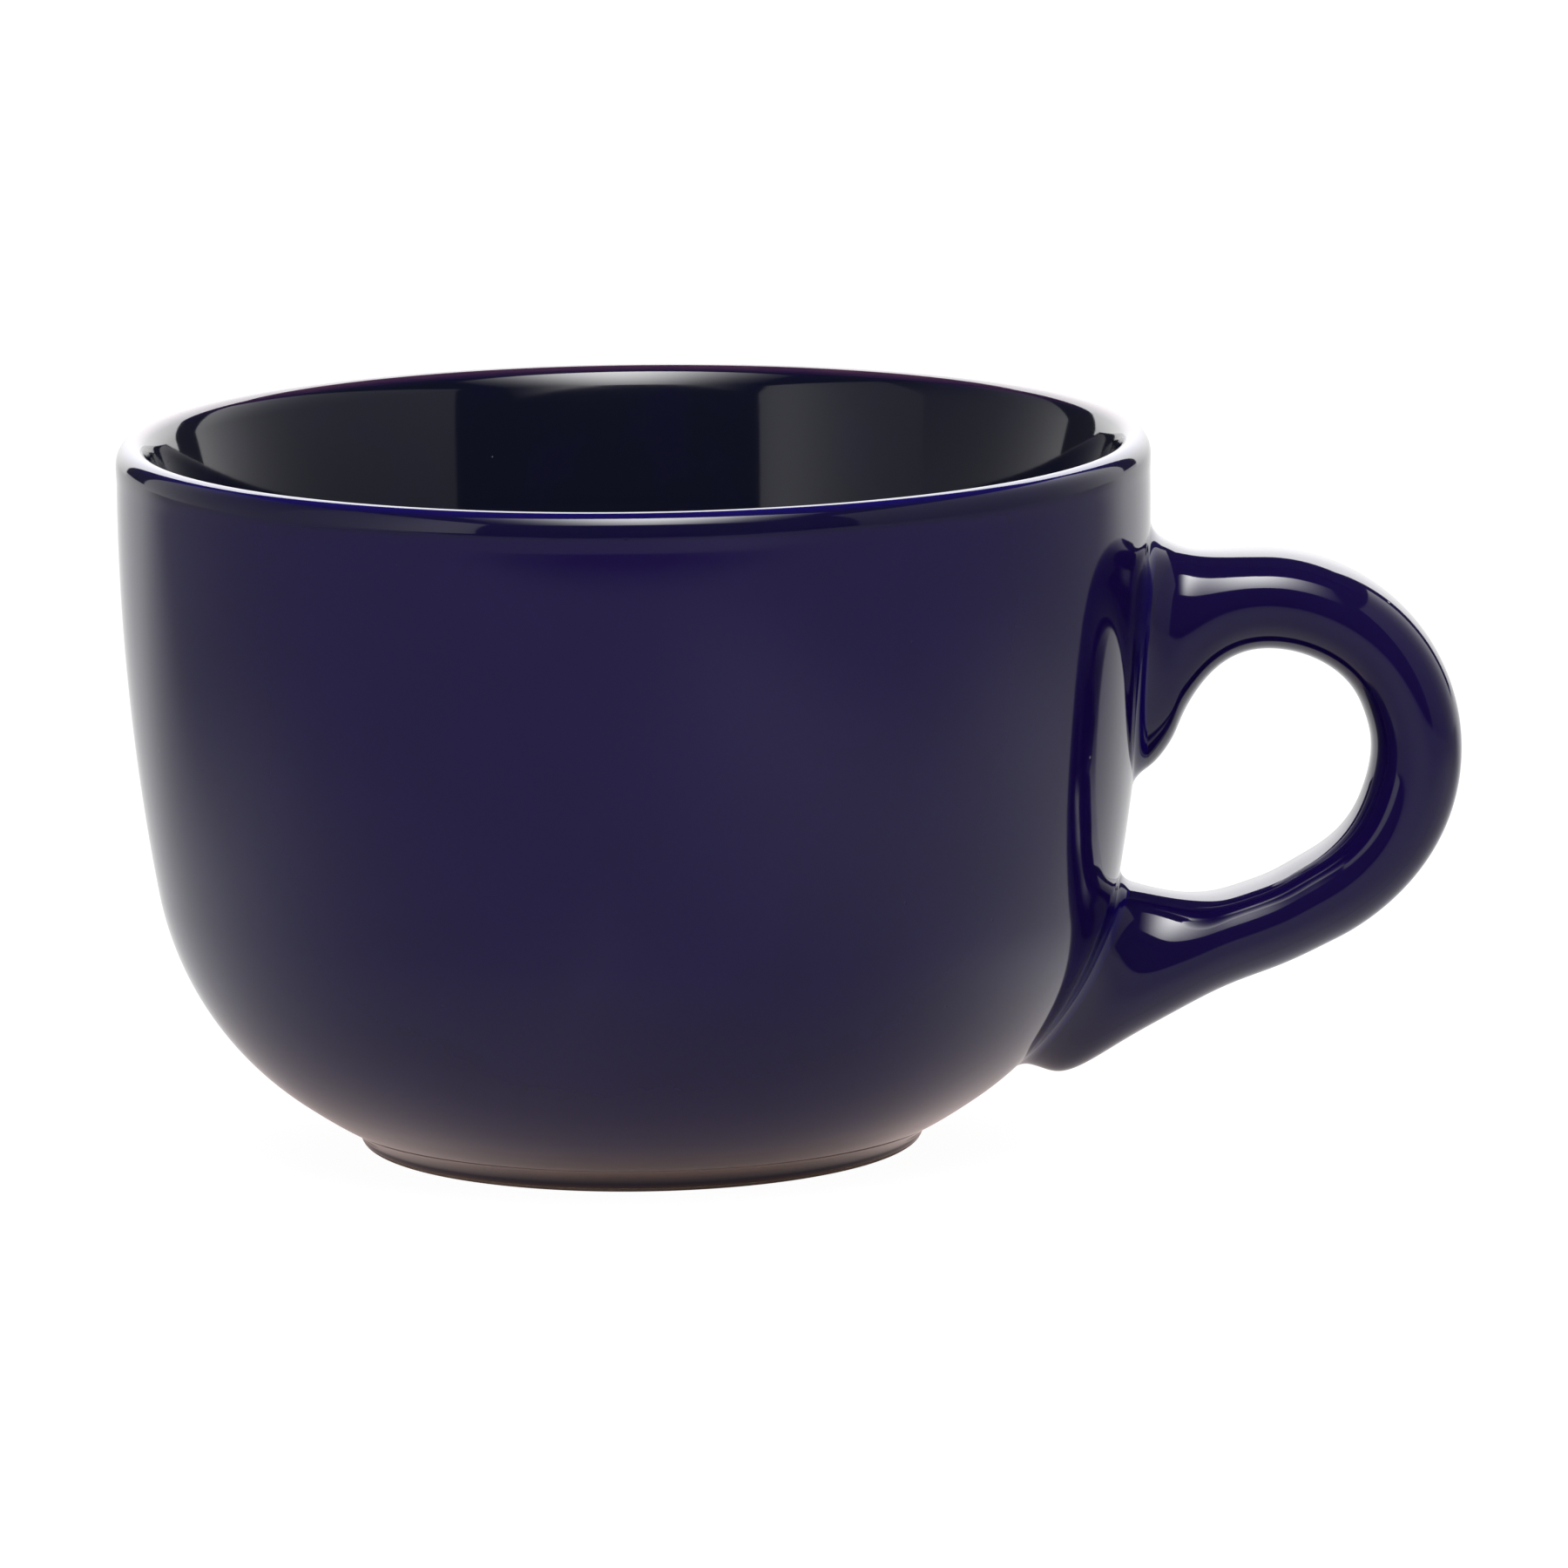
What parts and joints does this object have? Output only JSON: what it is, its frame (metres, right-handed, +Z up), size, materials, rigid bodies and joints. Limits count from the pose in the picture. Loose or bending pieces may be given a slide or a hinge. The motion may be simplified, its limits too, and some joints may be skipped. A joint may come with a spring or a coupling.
{
  "type": "cappuccino mug",
  "caption": "Wide, low glazed stoneware mug with a thick wall that tapers to its lip, a rounded belly, a foot ring and a thick loop handle luted to its side, for cappuccino and other hot drinks.",
  "frame": {"origin": "on the standing surface, under the middle of the whole mug's box, handle included; the bowl's own axis is at x = -0.0182", "axes": "+Z up along the bowl's axis, +X from the bowl to its handle"},
  "size_m": [0.1574, 0.121, 0.0836],
  "materials": {
    "cobalt_glaze": "glossy cobalt-blue glaze over fired stoneware",
    "luting_slip": "fired slip under the same glossy cobalt-blue glaze"
  },
  "bodies": {
    "root": {"bowl": "cobalt_glaze", "handle": "cobalt_glaze", "upper_slip_joint": "luting_slip", "lower_slip_joint": "luting_slip"}
  },
  "joints": []
}
